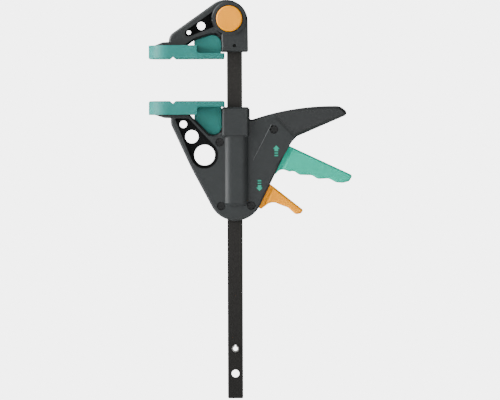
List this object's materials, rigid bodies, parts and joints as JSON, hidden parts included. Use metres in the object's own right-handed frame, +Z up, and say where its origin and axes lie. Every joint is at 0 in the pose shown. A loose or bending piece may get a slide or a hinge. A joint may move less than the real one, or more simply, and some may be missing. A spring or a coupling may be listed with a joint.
{
  "type": "quick release bar clamp",
  "caption": "One-handed bar clamp: a pistol-grip carriage with trigger and release lever slides on a flat steel bar towards a button-locked jaw; both jaws have soft pads.",
  "frame": {"origin": "on the bar's axis, at the middle of its thickness, level with the fixed pad's clamping face", "axes": "+X across the bar from the jaws towards the grip, +Y from the button's side to the back, +Z up along the bar from its free end to the fixed jaw"},
  "size_m": [0.1722, 0.034, 0.3387],
  "materials": {
    "bar_steel": "blackened, satin",
    "spring_steel": "dark drawn wire",
    "bright_steel": "ground",
    "plate_steel": "stamped, zinc grey",
    "black_screw": "blackened",
    "grey_moulding": "fine grain, satin",
    "grip_rubber": "smooth matt",
    "teal_rubber": "smooth satin",
    "teal_plastic": "satin",
    "amber_plastic": "satin"
  },
  "bodies": {
    "bar_head": {"bar": "bar_steel", "stop_pin": "spring_steel", "fixed_jaw": "grey_moulding", "fixed_pad": "teal_rubber", "jaw_set_screw": "black_screw", "button_spring": "spring_steel"},
    "button": {"release_button": "amber_plastic", "lock_plunger": "bright_steel"},
    "carriage": {"housing_front": "grey_moulding", "housing_rear": "grey_moulding", "housing_screws": "black_screw", "grip_sleeve": "grip_rubber", "moving_pad": "teal_rubber", "trigger_pin": "bright_steel", "release_pin": "bright_steel", "spring_seat": "bright_steel", "drive_spring": "spring_steel", "brake_spring": "spring_steel"},
    "trigger": {"trigger": "teal_plastic"},
    "drive_plates": {"drive_plate_upper": "plate_steel", "drive_plate_lower": "plate_steel"},
    "release_lever": {"release_lever": "amber_plastic"},
    "brake_plate": {"brake_plate": "plate_steel"}
  },
  "joints": [
    {"name": "jaw_slide", "type": "slide", "parent": "bar_head", "child": "carriage", "axis": [0, 0, 1], "range_m": [-0.1052, 0.0353]},
    {"name": "trigger_hinge", "type": "hinge", "parent": "carriage", "child": "trigger", "pos_m": [0.037, 0, -0.07745], "axis": [0, -1, 0], "range_deg": [0, 18], "stiffness_Nm_per_rad": 1.2, "springref_deg": -17.19},
    {"name": "drive_plate_slide", "type": "slide", "parent": "carriage", "child": "drive_plates", "axis": [0, 0, -1], "range_m": [0, 0.0086], "deforming": ["drive_spring"]},
    {"name": "release_hinge", "type": "hinge", "parent": "carriage", "child": "release_lever", "pos_m": [0.0208, 0, -0.11315], "axis": [0, -1, 0], "range_deg": [0, 13.7], "stiffness_Nm_per_rad": 0.5, "springref_deg": -17.19},
    {"name": "brake_plate_tilt", "type": "hinge", "parent": "carriage", "child": "brake_plate", "pos_m": [-0.0138, 0, -0.11795], "axis": [0, 1, 0], "range_deg": [0, 5], "deforming": ["brake_spring"]},
    {"name": "button_press", "type": "slide", "parent": "bar_head", "child": "button", "axis": [0, 1, 0], "range_m": [0, 0.0046], "stiffness_N_per_m": 500, "springref_m": -0.004, "deforming": ["button_spring"]}
  ],
  "couplings": [
    {"joint": "drive_plate_slide", "follows": "trigger_hinge", "m_per_rad": 0.02737},
    {"joint": "brake_plate_tilt", "follows": "release_hinge", "ratio": 0.3649}
  ]
}
